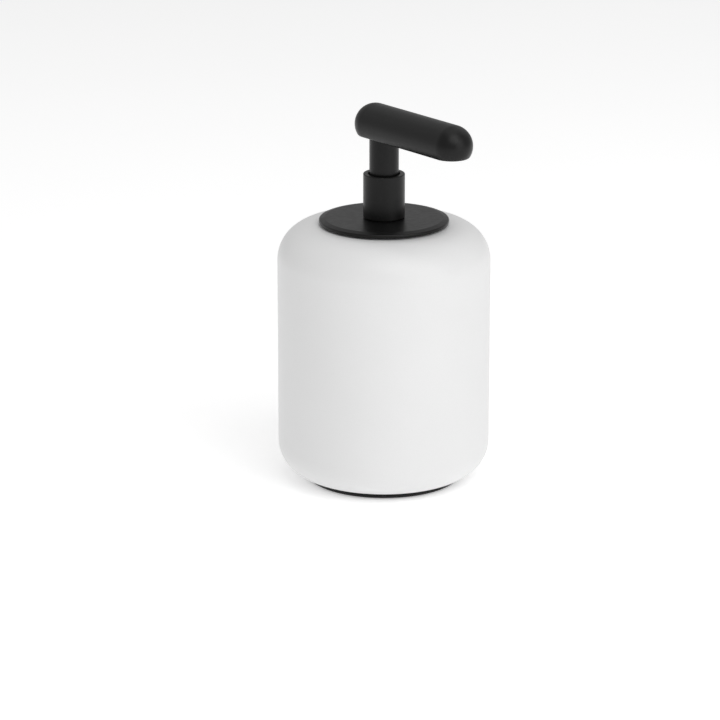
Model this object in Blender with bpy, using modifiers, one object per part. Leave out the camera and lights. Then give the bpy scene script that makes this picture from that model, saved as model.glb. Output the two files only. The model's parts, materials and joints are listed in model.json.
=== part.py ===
"""Soap pump dispenser: a round ceramic vessel on a black foot, with a lift-out pump under a flat lid
and a bar-shaped spout that is pressed down to dispense. Metres, +Z up, origin on the table, on the axis
of the vessel; the spout points along -Y.

Every outline below is a list of (radius, height, corner radius). It runs down the outside of the piece
and up the inside, with heights counted from the piece's own reference face.
"""

from math import atan2, ceil, cos, hypot, pi, radians, sin, tan

import bpy
from mathutils import Vector

# ---------------------------------------------------------------- driving sizes, in metres
# Vessel
BODY_RADIUS = 0.0435
BODY_HEIGHT = 0.10555
SHOULDER_RADIUS = 0.0148
HEEL_RADIUS = 0.0139
WALL = 0.0040
FLOOR = 0.0055
MOUTH_BORE = 0.0170  # inner radius of the neck liner, which the stopper slides into
NECK_DEPTH = 0.0120
LINER_WALL = 0.00125
LINER_FLANGE_WIDTH = 0.0022
LINER_FLANGE = 0.0008
# Foot
FOOT_HEIGHT = 0.0021  # from the table to the underside of the vessel
FOOT_OVERHANG = 0.0019  # how far the foot reaches past the vessel's flat underside
FOOT_LEDGE = 0.0036  # width of the flat ring around the recess that the foot plugs into
FOOT_SPIGOT_HEIGHT = 0.0018
PAD_INSET = 0.0025  # from the side of the plug to the pad's edge, so the recess lies under the thick middle
PAD_THICKNESS = 0.0009
PAD_PROUD = 0.0003  # how far the pad stands below the foot
# Lid and collar
LID_RADIUS = 0.02645
LID_THICKNESS = 0.0020
LID_CROWN_WIDTH = 0.0023  # the shallow slope around the lid's flat top
LID_CROWN_DROP = 0.0006
LID_GAP = 0.00075  # between the lid and the rim of the vessel
LID_GASKET = 0.0006
LID_GASKET_WIDTH = 0.0055
GASKET_SETBACK = 0.0004  # from a bore to the gasket around it
STEM_RADIUS = 0.0060
STEM_GAP = 0.00055  # the open ring around the stem at the top of the collar
COLLAR_LIP = 0.00195
COLLAR_HEIGHT = 0.0185
COLLAR_OPEN_DEPTH = 0.0052
COLLAR_EDGE = 0.0004
SPIGOT_WALL = 0.0006
SPIGOT_LENGTH = 0.0055  # below the lid
BUSH_WALL = 0.0006
BUSH_FLANGE = 0.0009
WIPER_HEIGHT = 0.0013
WIPER_LAND = 0.00026  # height of the band that touches the stem
# Stopper
STOPPER_CLEARANCE = 0.0008
SEAL_SECTION = 0.0009  # radius of the stopper's two sealing rings
SEAL_SPACING = 0.0050
STOPPER_SKIRT = 0.0038
# Pump
STROKE = 0.0130
HEAD_MARGIN = 0.0018  # left between spout and collar at full stroke
SLEEVE_MARGIN = 0.0004
CYLINDER_BORE = 0.0056
CYLINDER_WALL = 0.0014
CYLINDER_FLANGE = 0.0018
FLANGE_GASKET = 0.0007
LOCK_RING_HEIGHT = 0.0024
NOTCH_WIDTH = 0.0020
VENT_RADIUS = 0.0005
GUIDE_LENGTH = 0.0075
GUIDE_FLANGE = 0.0008
GUIDE_FLANGE_WIDTH = 0.0009
ROD_RADIUS = 0.0030
ROD_BORE = 0.0015
ROD_STOP = 0.0007  # height of the collar that ends the upward travel
ROD_SHOULDER = 0.0015
PISTON_LENGTH = 0.0075
PISTON_LIP = 0.0007
PISTON_WAIST = 0.00105  # how far the piston steps in between its lips, on 45 degree cones
PISTON_CUP = 0.00045  # width of the cup behind each lip, at its floor
VALVE_FLANGE = 0.0010
VALVE_SPIGOT_HEIGHT = 0.0030
SPRING_WIRE = 0.0004  # radius
SPRING_RADIUS = 0.0042  # to the middle of the wire
SPRING_PRESSED = 0.0100  # length at full stroke
SPRING_TURNS = 9
SPRING_SEAT = 0.0010
SPRING_PILOT = 0.0014
INLET_BALL = 0.0025
INLET_LIFT = 0.0010
STOP_SHARE = 0.65  # of the inlet ball: the stop's hole is too small for it, which keeps it in its chamber
OUTLET_BALL = 0.0017
OUTLET_LIFT = 0.0012
THROAT_LENGTH = 0.0015
SEAT_LIP = 0.00015  # flat left around the outlet valve's cone
SEAT_OVERLAP = 0.00007  # how much smaller a valve's throat is than the ring where its ball touches
TUBE_RADIUS = 0.0025
TUBE_WALL = 0.0008
TUBE_SOCKET = 0.0050
TUBE_FLOOR_GAP = 0.0025
TUBE_END_SLANT = radians(35)
# Spout
SPOUT_RADIUS = 0.0085
SPOUT_FLAT_DROP = 0.00471  # from the spout's axis to its flat underside
SPOUT_FRONT = 0.05126  # from the stem's axis to the tip
SPOUT_BACK = 0.0141
SPOUT_EDGE = 0.0005
NOZZLE_SETBACK = 0.0100
NOZZLE_RADIUS = 0.0025
NOZZLE_BORE = 0.0012
CHANNEL_RADIUS = 0.0020
CHANNEL_WALL = 0.0006
SOCKET_WALL = 0.0016  # how much the stem steps in where it enters the spout
SOCKET_DEPTH = 0.0037
SOCKET_ROOM = 0.0024  # free height above the stem, for the clip and the end of the rod
SLEEVE_LEDGE = 0.0022  # from the stem's shoulder down to the ledge inside it
SLEEVE_WALL = 0.0015
ROD_END = 0.0010  # above the clip
CLIP_THICKNESS = 0.0005
CLIP_SETBACK = 0.0007
CLIP_GROOVE = 0.0006
CLIP_OPENING = 1.4  # width of the clip's open side, in radii of its groove
REAR_SCREW_RADIUS = 0.0025
REAR_SCREW_LENGTH = 0.0050
REAR_SCREW_SETBACK = 0.0008
HEX_KEY = 0.0015  # radius over the corners of its socket
BYPASS_WIDTH = 0.0012  # slots that let the soap past a lifted ball
BYPASS_DEPTH = 0.0006
BALL_CLEARANCE = 0.0008
# Fits and edges
SEAT_GAP = 0.0003  # between faces that rest on each other
RUNNING_GAP = 0.0001  # around a piece that slides or turns
EDGE = 0.0003  # the broken edge of a turned piece

# ---------------------------------------------------------------- derived sizes
RIM_Z = FOOT_HEIGHT + BODY_HEIGHT
FLOOR_Z = FOOT_HEIGHT + FLOOR
LINER_RADIUS = MOUTH_BORE + LINER_WALL
LINER_FLANGE_RADIUS = LINER_RADIUS + LINER_FLANGE_WIDTH
FLAT_RADIUS = BODY_RADIUS - HEEL_RADIUS
FOOT_RADIUS = FLAT_RADIUS + FOOT_OVERHANG
FOOT_SPIGOT_RADIUS = FLAT_RADIUS - FOOT_LEDGE
PAD_RADIUS = FOOT_SPIGOT_RADIUS - PAD_INSET

LID_Z = RIM_Z + LID_GAP
GASKET_INNER = MOUTH_BORE + GASKET_SETBACK
GASKET_OUTER = GASKET_INNER + LID_GASKET_WIDTH
GASKET_GROOVE = LID_GASKET + 2 * SEAT_GAP - LID_GAP
LID_TOP_Z = LID_Z + LID_THICKNESS
COLLAR_BORE = STEM_RADIUS + STEM_GAP
COLLAR_RADIUS = COLLAR_BORE + COLLAR_LIP
COLLAR_TOP_Z = LID_TOP_Z + COLLAR_HEIGHT
STEM_BORE = STEM_RADIUS + RUNNING_GAP
BUSH_RADIUS = STEM_BORE + BUSH_WALL
POCKET_RADIUS = BUSH_RADIUS + SEAT_GAP
SPIGOT_RADIUS = POCKET_RADIUS + SPIGOT_WALL
SPIGOT_HOLE = SPIGOT_RADIUS + SEAT_GAP
SPIGOT_Z = LID_Z - SPIGOT_LENGTH
WIPER_Z = COLLAR_TOP_Z - COLLAR_OPEN_DEPTH - SEAT_GAP - WIPER_HEIGHT

BUSH_Z = SPIGOT_Z - SEAT_GAP - BUSH_FLANGE
LEDGE_Z = BUSH_Z - SEAT_GAP
CYLINDER_TOP_Z = LEDGE_Z - FLANGE_GASKET - 2 * SEAT_GAP
CYLINDER_RADIUS = CYLINDER_BORE + CYLINDER_WALL
STOPPER_RADIUS = MOUTH_BORE - STOPPER_CLEARANCE
COUNTERBORE_RADIUS = STOPPER_RADIUS - STOPPER_SKIRT
CYLINDER_FLANGE_RADIUS = COUNTERBORE_RADIUS - SEAT_GAP
LOCK_RING_Z = CYLINDER_TOP_Z - CYLINDER_FLANGE - SEAT_GAP - LOCK_RING_HEIGHT
STOPPER_TOP_Z = LID_Z - SEAT_GAP
STOPPER_Z = LOCK_RING_Z - SEAT_GAP

GUIDE_TOP_Z = CYLINDER_TOP_Z - SEAT_GAP
GUIDE_Z = GUIDE_TOP_Z - GUIDE_FLANGE - GUIDE_LENGTH
GUIDE_FLANGE_RADIUS = CYLINDER_BORE + GUIDE_FLANGE_WIDTH
GUIDE_RADIUS = CYLINDER_BORE - SEAT_GAP
PISTON_RADIUS = CYLINDER_BORE - RUNNING_GAP
ROD_HOLE = ROD_RADIUS + RUNNING_GAP
PISTON_TOP_Z = GUIDE_Z - SEAT_GAP - ROD_STOP
ROD_Z = PISTON_TOP_Z - SEAT_GAP - PISTON_LENGTH
VALVE_Z = ROD_Z - SEAT_GAP - VALVE_FLANGE
SPRING_LENGTH = SPRING_PRESSED + STROKE
SPRING_Z = VALVE_Z - SEAT_GAP - SPRING_LENGTH
SPRING_INSIDE = SPRING_RADIUS - SPRING_WIRE
PILOT_RADIUS = SPRING_INSIDE - SEAT_GAP
SPRING_SEAT_Z = SPRING_Z - SEAT_GAP - SPRING_SEAT
STOP_HOLE = STOP_SHARE * INLET_BALL
BALL_CHAMBER_TOP_Z = SPRING_SEAT_Z - SEAT_GAP
INLET_Z = BALL_CHAMBER_TOP_Z - INLET_LIFT - SEAT_GAP - INLET_BALL
INLET_TOUCH = INLET_BALL * cos(pi / 4)  # both valve seats are 45 degree cones
INLET_THROAT = INLET_TOUCH - SEAT_OVERLAP
INLET_THROAT_Z = INLET_Z - SEAT_GAP - INLET_TOUCH - SEAT_OVERLAP
BALL_CHAMBER_RADIUS = INLET_BALL + BALL_CLEARANCE
TUBE_HOLE = TUBE_RADIUS + SEAT_GAP
TUBE_STOP_Z = INLET_THROAT_Z - THROAT_LENGTH
CYLINDER_Z = TUBE_STOP_Z - TUBE_SOCKET
TUBE_Z = FLOOR_Z + TUBE_FLOOR_GAP

OUTLET_TOUCH = OUTLET_BALL * cos(pi / 4)
OUTLET_THROAT = OUTLET_TOUCH - SEAT_OVERLAP
VALVE_CHAMBER = OUTLET_BALL + BALL_CLEARANCE / 2
VALVE_SPIGOT = VALVE_CHAMBER - SEAT_GAP
OUTLET_CONE = VALVE_SPIGOT - SEAT_LIP - OUTLET_THROAT
OUTLET_Z = VALVE_Z + VALVE_FLANGE + VALVE_SPIGOT_HEIGHT - OUTLET_CONE + SEAT_OVERLAP + OUTLET_TOUCH + SEAT_GAP
VALVE_CHAMBER_TOP_Z = OUTLET_Z + OUTLET_BALL + OUTLET_LIFT + SEAT_GAP

SPOUT_FLAT_Z = COLLAR_TOP_Z + STROKE + HEAD_MARGIN
SPOUT_Z = SPOUT_FLAT_Z + SPOUT_FLAT_DROP
SLEEVE_Z = CYLINDER_TOP_Z + SLEEVE_MARGIN + STROKE
SLEEVE_SHOULDER_Z = SPOUT_FLAT_Z - SEAT_GAP
SLEEVE_TOP_Z = SLEEVE_SHOULDER_Z + SOCKET_DEPTH
SOCKET_RADIUS = STEM_RADIUS - SOCKET_WALL
SLEEVE_LEDGE_Z = SLEEVE_SHOULDER_Z - SLEEVE_LEDGE
SLEEVE_BORE = STEM_RADIUS - SLEEVE_WALL
ROD_SEAL_SECTION = (SLEEVE_BORE - ROD_RADIUS) / 2 - SEAT_GAP
ROD_SEAL_Z = SLEEVE_LEDGE_Z - SEAT_GAP - ROD_SEAL_SECTION
SHOULDER_TOP_Z = ROD_SEAL_Z - ROD_SEAL_SECTION - SEAT_GAP
CLIP_Z = SLEEVE_TOP_Z + SEAT_GAP
CLIP_RADIUS = SOCKET_RADIUS - CLIP_SETBACK
GROOVE_RADIUS = ROD_RADIUS - CLIP_GROOVE
ROD_TOP_Z = CLIP_Z + CLIP_THICKNESS + ROD_END
CHANNEL_Z = SLEEVE_TOP_Z + SOCKET_ROOM / 2
NOZZLE_Y = -(SPOUT_FRONT - NOZZLE_SETBACK)
NOZZLE_HOLE = NOZZLE_RADIUS + SEAT_GAP
NOZZLE_TOP_Z = CHANNEL_Z - CHANNEL_RADIUS

VISIBLE_SIDES = 40
TUBE_SIDES = 28
HIDDEN_SIDES = 24
SMALL_SIDES = 16
END_STEPS = 7  # facets from the tip of the spout to its side
SLIM_SIDES = 8
WIDE_ARC = 0.004  # arcs wider than this get a facet every 18 degrees, smaller ones every 45
WIDE_FACET = radians(18)
SMALL_FACET = radians(46)


# ---------------------------------------------------------------- helpers
def clear_scene():
    for obj in list(bpy.data.objects):
        bpy.data.objects.remove(obj)


def make_collection(name):
    collection = bpy.data.collections.new(name)
    bpy.context.scene.collection.children.link(collection)
    return collection


def move_to(obj, collection):
    for owner in list(obj.users_collection):
        owner.objects.unlink(obj)
    collection.objects.link(obj)


def make_material(name, colour, roughness, metallic=0.0):
    material = bpy.data.materials.new(name)
    material.use_nodes = True
    shader = material.node_tree.nodes["Principled BSDF"]
    shader.inputs["Base Color"].default_value = (*colour, 1.0)
    shader.inputs["Roughness"].default_value = roughness
    shader.inputs["Metallic"].default_value = metallic
    material.diffuse_color = (*colour, 1.0)
    return material


def make_frame(name, height, parent=None):
    """An empty on the axis, which the pieces of one moving group hang from."""
    empty = bpy.data.objects.new(name, None)
    empty.empty_display_size = 0.01
    PART.objects.link(empty)
    empty.parent = parent
    empty.location.z = height - height_of(parent)
    return empty


def height_of(empty):
    """World height of an empty, summed along its parents; no empty is turned or scaled."""
    height = 0.0
    while empty:
        height += empty.location.z
        empty = empty.parent
    return height


def attach(obj, frame, location):
    obj.parent = frame
    obj.location = Vector(location) - Vector((0, 0, height_of(frame)))


def arc_steps(radius, turn):
    """Facets in a corner's arc; a broken edge is one facet."""
    facet = WIDE_FACET if radius > WIDE_ARC else SMALL_FACET if radius > COLLAR_EDGE else pi
    return max(1, ceil(turn / facet - 1e-6))


def rounded(corners, closed):
    """The points of an outline whose corners are (radius, height, corner radius)."""
    points = []
    count = len(corners)
    for index, (x, z, *rest) in enumerate(corners):
        corner = Vector((x, z))
        radius = rest[0] if rest else 0.0
        if radius == 0.0 or (not closed and index in (0, count - 1)):
            points.append(corner)
            continue
        before = (Vector(corners[index - 1][:2]) - corner).normalized()
        after = (Vector(corners[(index + 1) % count][:2]) - corner).normalized()
        inside = before.angle(after)
        reach = radius / tan(inside / 2)
        centre = corner + (before + after).normalized() * hypot(radius, reach)
        start = corner + before * reach - centre
        end = corner + after * reach - centre
        turn = start.angle(end)
        way = 1 if start.x * end.y - start.y * end.x > 0 else -1
        first = atan2(start.y, start.x)
        steps = arc_steps(radius, turn)
        for step in range(steps + 1):
            angle = first + way * turn * step / steps
            points.append(centre + radius * Vector((cos(angle), sin(angle))))
    return points


def finish(obj, name, material, frame, location):
    obj.name = name
    obj.data.name = name
    obj.data.materials.clear()
    obj.data.materials.append(material)
    move_to(obj, PART)
    attach(obj, frame, location)
    return obj


def turned(name, corners, material, frame, z, sides, closed=True):
    """A solid of revolution: the outline's points, turned about Z by a Screw modifier."""
    mesh = bpy.data.meshes.new(name)
    points = rounded(corners, closed)
    count = len(points)
    edges = [(i, (i + 1) % count) for i in range(count if closed else count - 1)]
    mesh.from_pydata([(p.x, 0.0, p.y) for p in points], edges, [])
    obj = bpy.data.objects.new(name, mesh)
    PART.objects.link(obj)
    screw = obj.modifiers.new("Turn", "SCREW")
    screw.steps = screw.render_steps = sides
    screw.use_merge_vertices = True
    screw.merge_threshold = 1e-6
    screw.use_smooth_shade = True
    return finish(obj, name, material, frame, (0, 0, z))


def as_cutter(obj, name, frame, location):
    obj.name = name
    obj.hide_render = True
    obj.display_type = "WIRE"
    move_to(obj, CUTTERS)
    attach(obj, frame, location)
    return obj


def round_cutter(name, radius, length, frame, location, sides, rotation=(0, 0, 0)):
    bpy.ops.mesh.primitive_cylinder_add(vertices=sides, radius=radius, depth=length, rotation=rotation)
    return as_cutter(bpy.context.object, name, frame, location)


def box_cutter(name, size, frame, location, rotation=(0, 0, 0)):
    bpy.ops.mesh.primitive_cube_add(size=1.0, rotation=rotation)
    obj = bpy.context.object
    obj.data.transform(obj.matrix_basis.Diagonal((*size, 1.0)))
    return as_cutter(obj, name, frame, location)


def cut(obj, cutter):
    modifier = obj.modifiers.new(cutter.name, "BOOLEAN")
    modifier.operation = "DIFFERENCE"
    modifier.solver = "EXACT"
    modifier.object = cutter


def ball(name, radius, material, frame, z):
    bpy.ops.mesh.primitive_uv_sphere_add(segments=SMALL_SIDES, ring_count=10, radius=radius)
    obj = finish(bpy.context.object, name, material, frame, (0, 0, z))
    obj.data.shade_smooth()
    return obj


def sealing_ring(name, ring_radius, section, material, frame, z, sides):
    bpy.ops.mesh.primitive_torus_add(
        major_radius=ring_radius, minor_radius=section, major_segments=sides, minor_segments=SLIM_SIDES
    )
    obj = finish(bpy.context.object, name, material, frame, (0, 0, z))
    obj.data.shade_smooth()
    return obj


def flat_ring(name, outer, inner, height, material, frame, z, sides):
    corners = [(outer, height), (outer, 0), (inner, 0), (inner, height)]
    return turned(name, corners, material, frame, z, sides)


# ---------------------------------------------------------------- vessel and foot
def make_vessel():
    inner = BODY_RADIUS - WALL
    ceiling = BODY_HEIGHT - WALL
    mouth = LINER_RADIUS + SEAT_GAP
    recess = LINER_FLANGE_RADIUS + SEAT_GAP
    recess_floor = BODY_HEIGHT - LINER_FLANGE - SEAT_GAP
    corners = [
        (0, FLOOR),
        (inner, FLOOR, HEEL_RADIUS - WALL),
        (inner, ceiling, SHOULDER_RADIUS - WALL),
        (mouth, ceiling),
        (mouth, recess_floor),
        (recess, recess_floor),
        (recess, BODY_HEIGHT, EDGE),
        (BODY_RADIUS, BODY_HEIGHT, SHOULDER_RADIUS),
        (BODY_RADIUS, 0, HEEL_RADIUS),
        (FOOT_SPIGOT_RADIUS, 0, EDGE),
        (FOOT_SPIGOT_RADIUS, FOOT_SPIGOT_HEIGHT),
        (0, FOOT_SPIGOT_HEIGHT),
    ]
    return turned("vessel", corners, CERAMIC, BASE, FOOT_HEIGHT, VISIBLE_SIDES, closed=False)


def make_neck_liner():
    """The plastic ring glued into the mouth, which gives the stopper an even bore."""
    corners = [
        (LINER_FLANGE_RADIUS, NECK_DEPTH),
        (LINER_FLANGE_RADIUS, NECK_DEPTH - LINER_FLANGE),
        (LINER_RADIUS, NECK_DEPTH - LINER_FLANGE),
        (LINER_RADIUS, 0, EDGE),
        (MOUTH_BORE, 0, EDGE),
        (MOUTH_BORE, NECK_DEPTH, EDGE),
    ]
    return turned("neck_liner", corners, PALE_PLASTIC, BASE, RIM_Z - NECK_DEPTH, TUBE_SIDES)


def make_foot():
    underside = PAD_PROUD
    plate_top = FOOT_HEIGHT - SEAT_GAP - underside
    pad_top = PAD_THICKNESS + SEAT_GAP - underside
    corners = [
        (0, plate_top + FOOT_SPIGOT_HEIGHT - SEAT_GAP),
        (FOOT_SPIGOT_RADIUS - SEAT_GAP, plate_top + FOOT_SPIGOT_HEIGHT - SEAT_GAP, EDGE),
        (FOOT_SPIGOT_RADIUS - SEAT_GAP, plate_top),
        (FOOT_RADIUS, plate_top, EDGE),
        (FOOT_RADIUS, 0, EDGE),
        (PAD_RADIUS + SEAT_GAP, 0),
        (PAD_RADIUS + SEAT_GAP, pad_top),
        (0, pad_top),
    ]
    turned("base_plate", corners, BLACK_METAL, BASE, underside, VISIBLE_SIDES, closed=False)
    pad = [(0, PAD_THICKNESS), (PAD_RADIUS, PAD_THICKNESS), (PAD_RADIUS, 0, EDGE), (0, 0)]
    turned("foot_pad", pad, RUBBER, BASE, 0, TUBE_SIDES, closed=False)


# ---------------------------------------------------------------- lid, collar and stopper
def make_lid():
    corners = [
        (LID_RADIUS - LID_CROWN_WIDTH, LID_THICKNESS),
        (LID_RADIUS, LID_THICKNESS - LID_CROWN_DROP, EDGE),
        (LID_RADIUS, 0, EDGE),
        (GASKET_OUTER + SEAT_GAP, 0),
        (GASKET_OUTER + SEAT_GAP, GASKET_GROOVE),
        (GASKET_INNER - SEAT_GAP, GASKET_GROOVE),
        (GASKET_INNER - SEAT_GAP, 0),
        (SPIGOT_HOLE, 0),
        (SPIGOT_HOLE, LID_THICKNESS),
    ]
    turned("lid_disc", corners, BLACK_METAL, PUMP, LID_Z, VISIBLE_SIDES)
    gasket_z = RIM_Z + SEAT_GAP
    flat_ring("lid_gasket", GASKET_OUTER, GASKET_INNER, LID_GASKET, SILICONE, PUMP, gasket_z, TUBE_SIDES)


def make_collar():
    """The tube that stands on the lid. Its thinner end passes through the lid into the stopper."""
    bottom = SPIGOT_Z - LID_TOP_Z
    pocket_top = COLLAR_HEIGHT - COLLAR_OPEN_DEPTH
    corners = [
        (COLLAR_RADIUS, COLLAR_HEIGHT, COLLAR_EDGE),
        (COLLAR_RADIUS, SEAT_GAP, EDGE),
        (SPIGOT_RADIUS, SEAT_GAP),
        (SPIGOT_RADIUS, bottom, EDGE),
        (POCKET_RADIUS, bottom),
        (POCKET_RADIUS, pocket_top),
        (COLLAR_BORE, pocket_top),
        (COLLAR_BORE, COLLAR_HEIGHT, EDGE),
    ]
    turned("guide_collar", corners, BLACK_METAL, PUMP, LID_TOP_Z, TUBE_SIDES)


def make_bush_and_wiper():
    length = WIPER_Z - SEAT_GAP - BUSH_Z
    bush = [
        (BUSH_RADIUS, length),
        (BUSH_RADIUS, BUSH_FLANGE),
        (SPIGOT_RADIUS, BUSH_FLANGE),
        (SPIGOT_RADIUS, 0),
        (STEM_BORE, 0, EDGE),
        (STEM_BORE, length),
    ]
    turned("guide_bush", bush, PALE_PLASTIC, PUMP, BUSH_Z, HIDDEN_SIDES)
    lip = STEM_BORE + EDGE
    wiper = [
        (BUSH_RADIUS, WIPER_HEIGHT),
        (BUSH_RADIUS, 0),
        (lip, 0),
        (STEM_BORE, (WIPER_HEIGHT - WIPER_LAND) / 2),
        (STEM_BORE, (WIPER_HEIGHT + WIPER_LAND) / 2),
        (lip, WIPER_HEIGHT),
    ]
    turned("stem_wiper", wiper, RUBBER, PUMP, WIPER_Z, HIDDEN_SIDES)


def make_stopper():
    """The plug under the lid: two sealing rings outside, the collar screwed in from above, the pump
    cylinder held in its counterbore from below."""
    height = STOPPER_TOP_Z - STOPPER_Z
    ledge = LEDGE_Z - STOPPER_Z
    groove_floor = MOUTH_BORE - SEAT_GAP - 2 * SEAL_SECTION - SEAT_GAP
    half_groove = SEAL_SECTION + SEAT_GAP
    middle = height / 2
    corners = [(STOPPER_RADIUS, height, EDGE)]
    seal_heights = {
        "stopper_seal_upper": middle + SEAL_SPACING / 2,
        "stopper_seal_lower": middle - SEAL_SPACING / 2,
    }
    for seal_height in seal_heights.values():
        corners += [
            (STOPPER_RADIUS, seal_height + half_groove),
            (groove_floor, seal_height + half_groove),
            (groove_floor, seal_height - half_groove),
            (STOPPER_RADIUS, seal_height - half_groove),
        ]
    corners += [
        (STOPPER_RADIUS, 0, 2 * EDGE),
        (COUNTERBORE_RADIUS, 0, EDGE),
        (COUNTERBORE_RADIUS, ledge),
        (SPIGOT_HOLE, ledge),
        (SPIGOT_HOLE, height),
    ]
    turned("stopper", corners, PALE_PLASTIC, PUMP, STOPPER_Z, TUBE_SIDES)
    ring_radius = MOUTH_BORE - SEAT_GAP - SEAL_SECTION
    for name, seal_height in seal_heights.items():
        sealing_ring(name, ring_radius, SEAL_SECTION, SILICONE, PUMP, STOPPER_Z + seal_height, HIDDEN_SIDES)


# ---------------------------------------------------------------- pump cylinder and what it holds
def make_cylinder():
    def local(z):
        return z - CYLINDER_Z

    top = local(CYLINDER_TOP_Z)
    guide_seat = local(GUIDE_TOP_Z - GUIDE_FLANGE - SEAT_GAP)
    guide_recess = GUIDE_FLANGE_RADIUS + SEAT_GAP
    chamber_outside = BALL_CHAMBER_RADIUS + CYLINDER_WALL
    socket_outside = TUBE_HOLE + CYLINDER_WALL
    neck_drop = CYLINDER_RADIUS - chamber_outside  # a 45 degree cone between the two diameters
    cone_top = local(INLET_THROAT_Z) + BALL_CHAMBER_RADIUS - INLET_THROAT
    corners = [
        (CYLINDER_FLANGE_RADIUS, top),
        (CYLINDER_FLANGE_RADIUS, top - CYLINDER_FLANGE),
        (CYLINDER_RADIUS, top - CYLINDER_FLANGE),
        (CYLINDER_RADIUS, local(BALL_CHAMBER_TOP_Z) - CYLINDER_WALL),
        (chamber_outside, local(BALL_CHAMBER_TOP_Z) - CYLINDER_WALL - neck_drop),
        (chamber_outside, local(INLET_THROAT_Z)),
        (socket_outside, local(TUBE_STOP_Z)),
        (socket_outside, 0, EDGE),
        (TUBE_HOLE, 0),
        (TUBE_HOLE, local(TUBE_STOP_Z)),
        (INLET_THROAT, local(TUBE_STOP_Z)),
        (INLET_THROAT, local(INLET_THROAT_Z)),
        (BALL_CHAMBER_RADIUS, cone_top),
        (BALL_CHAMBER_RADIUS, local(BALL_CHAMBER_TOP_Z)),
        (CYLINDER_BORE, local(BALL_CHAMBER_TOP_Z)),
        (CYLINDER_BORE, guide_seat),
        (guide_recess, guide_seat),
        (guide_recess, top),
    ]
    # The vent is shut off between the piston's two lips at rest, and opens as the piston goes down.
    cylinder = turned("pump_cylinder", corners, CLEAR_PLASTIC, PUMP, CYLINDER_Z, HIDDEN_SIDES)
    vent_z = ROD_Z + PISTON_LENGTH / 2
    reach = 4 * CYLINDER_WALL
    vent = round_cutter(
        "vent_cut", VENT_RADIUS, reach, PUMP, (CYLINDER_RADIUS, 0, vent_z), SLIM_SIDES, (0, pi / 2, 0)
    )
    cut(cylinder, vent)


def make_cylinder_mounting():
    """The gasket above the cylinder's flange and the screwed ring below it."""
    inner = SPIGOT_HOLE + GASKET_SETBACK
    outer = COUNTERBORE_RADIUS - SEAT_GAP
    flat_ring(
        "flange_gasket", outer, inner, FLANGE_GASKET, SILICONE, PUMP, CYLINDER_TOP_Z + SEAT_GAP, HIDDEN_SIDES
    )
    ring_inner = CYLINDER_RADIUS + 2 * SEAT_GAP
    ring = flat_ring(
        "lock_ring", CYLINDER_FLANGE_RADIUS, ring_inner, LOCK_RING_HEIGHT, PALE_PLASTIC, PUMP, LOCK_RING_Z,
        HIDDEN_SIDES,
    )
    # Two notches for a spanner, across the lower half of the ring's height.
    notch_size = (NOTCH_WIDTH, 3 * CYLINDER_FLANGE_RADIUS, LOCK_RING_HEIGHT)
    notches = box_cutter("notch_cut", notch_size, PUMP, (0, 0, LOCK_RING_Z))
    cut(ring, notches)


def make_rod_guide():
    corners = [
        (GUIDE_FLANGE_RADIUS, GUIDE_LENGTH + GUIDE_FLANGE),
        (GUIDE_FLANGE_RADIUS, GUIDE_LENGTH),
        (GUIDE_RADIUS, GUIDE_LENGTH),
        (GUIDE_RADIUS, 0, EDGE),
        (ROD_HOLE, 0, EDGE),
        (ROD_HOLE, GUIDE_LENGTH + GUIDE_FLANGE, EDGE),
    ]
    turned("rod_guide", corners, PALE_PLASTIC, PUMP, GUIDE_Z, HIDDEN_SIDES)


def bypass_slot(obj, name, frame, z, radius):
    """A slot across the stop above a ball, so that the lifted ball doesn't close the way up."""
    size = (2 * radius, BYPASS_WIDTH, 2 * BYPASS_DEPTH)
    cut(obj, box_cutter(name, size, frame, (0, 0, z)))


def make_spring_seat():
    """The ring the spring stands on; its small hole also keeps the inlet ball in its chamber."""
    corners = [
        (PILOT_RADIUS, SPRING_SEAT + SPRING_PILOT, EDGE),
        (PILOT_RADIUS, SPRING_SEAT),
        (CYLINDER_BORE - SEAT_GAP, SPRING_SEAT),
        (CYLINDER_BORE - SEAT_GAP, 0),
        (STOP_HOLE, 0),
        (STOP_HOLE, SPRING_SEAT + SPRING_PILOT),
    ]
    seat = turned("spring_seat", corners, PALE_PLASTIC, PUMP, SPRING_SEAT_Z, HIDDEN_SIDES)
    bypass_slot(seat, "inlet_bypass_cut", PUMP, SPRING_SEAT_Z, BALL_CHAMBER_RADIUS)


def make_dip_tube():
    length = TUBE_STOP_Z - SEAT_GAP - TUBE_Z
    tube = flat_ring(
        "dip_tube", TUBE_RADIUS, TUBE_RADIUS - TUBE_WALL, length, CLEAR_PLASTIC, PUMP, TUBE_Z, SMALL_SIDES
    )
    side = 6 * TUBE_RADIUS
    slant = TUBE_END_SLANT
    drop = side / 2 / cos(slant)
    slant_cut = box_cutter(
        "slant_cut", (side, side, side), PUMP, (0, 0, TUBE_Z + TUBE_RADIUS * tan(slant) - drop), (slant, 0, 0)
    )
    cut(tube, slant_cut)


def spring_points():
    """Points of the return spring's wire: one closed turn at each end, and open turns between."""
    per_turn = 10
    closed_rise = 2 * SPRING_WIRE
    open_turns = SPRING_TURNS - 2
    open_rise = (SPRING_LENGTH - 2 * SPRING_WIRE - 2 * closed_rise) / open_turns
    points = []
    for index in range(SPRING_TURNS * per_turn + 1):
        turn = index / per_turn
        height = SPRING_WIRE + closed_rise * min(turn, 1)
        height += open_rise * min(max(turn - 1, 0), open_turns)
        height += closed_rise * max(turn - 1 - open_turns, 0)
        angle = 2 * pi * turn
        points.append((SPRING_RADIUS * cos(angle), SPRING_RADIUS * sin(angle), height))
    return points


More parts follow.
